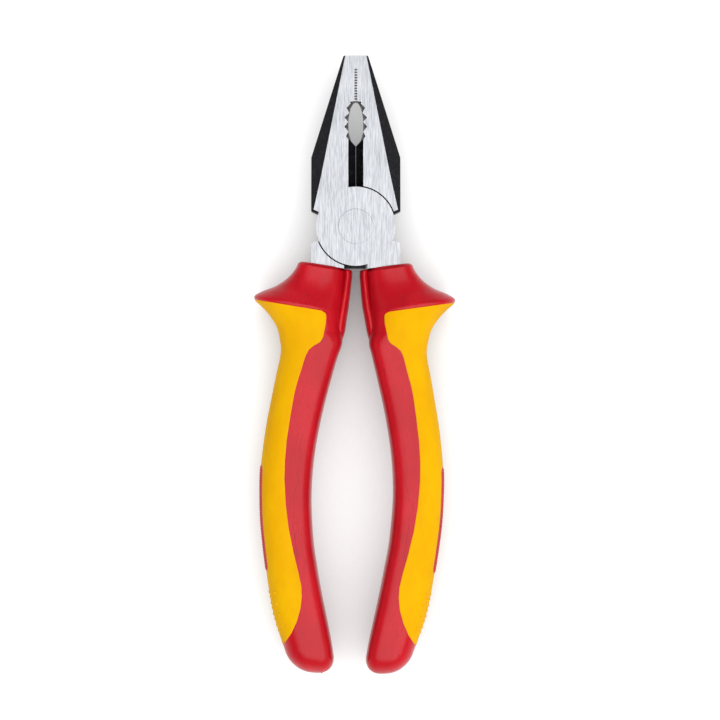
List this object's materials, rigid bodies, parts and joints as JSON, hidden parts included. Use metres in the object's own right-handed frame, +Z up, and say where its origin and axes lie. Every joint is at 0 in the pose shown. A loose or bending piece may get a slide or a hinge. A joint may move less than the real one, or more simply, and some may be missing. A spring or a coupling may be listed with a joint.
{
  "type": "lineman pliers",
  "caption": "Insulated combination pliers with a lap joint, serrated nose, pipe grip and side cutter, and overmoulded grips with a guard flange.",
  "frame": {"origin": "under the middle of the box round the tool, on the surface that its guards lie on", "axes": "+Y along the tool toward the jaw tips, +Z up out of the front face, +X to the right seen from the front"},
  "size_m": [0.0586, 0.1801, 0.023],
  "materials": {
    "lever_steel": "ground faces, black oxide elsewhere",
    "rivet_steel": "ground flush with the head",
    "grip_hard": "satin hard plastic",
    "grip_soft": "matt soft overmould"
  },
  "bodies": {
    "front_half": {"front_lever": "lever_steel", "pivot_rivet": "rivet_steel", "right_grip_sleeve": "grip_hard", "right_grip_overmould": "grip_soft"},
    "rear_half": {"rear_lever": "lever_steel", "left_grip_sleeve": "grip_hard", "left_grip_overmould": "grip_soft"}
  },
  "joints": [
    {"name": "jaw_hinge", "type": "hinge", "parent": "front_half", "child": "rear_half", "pos_m": [0.00035, 0.0404, 0.0115], "axis": [0, 0, -1], "range_deg": [0, 36]}
  ]
}
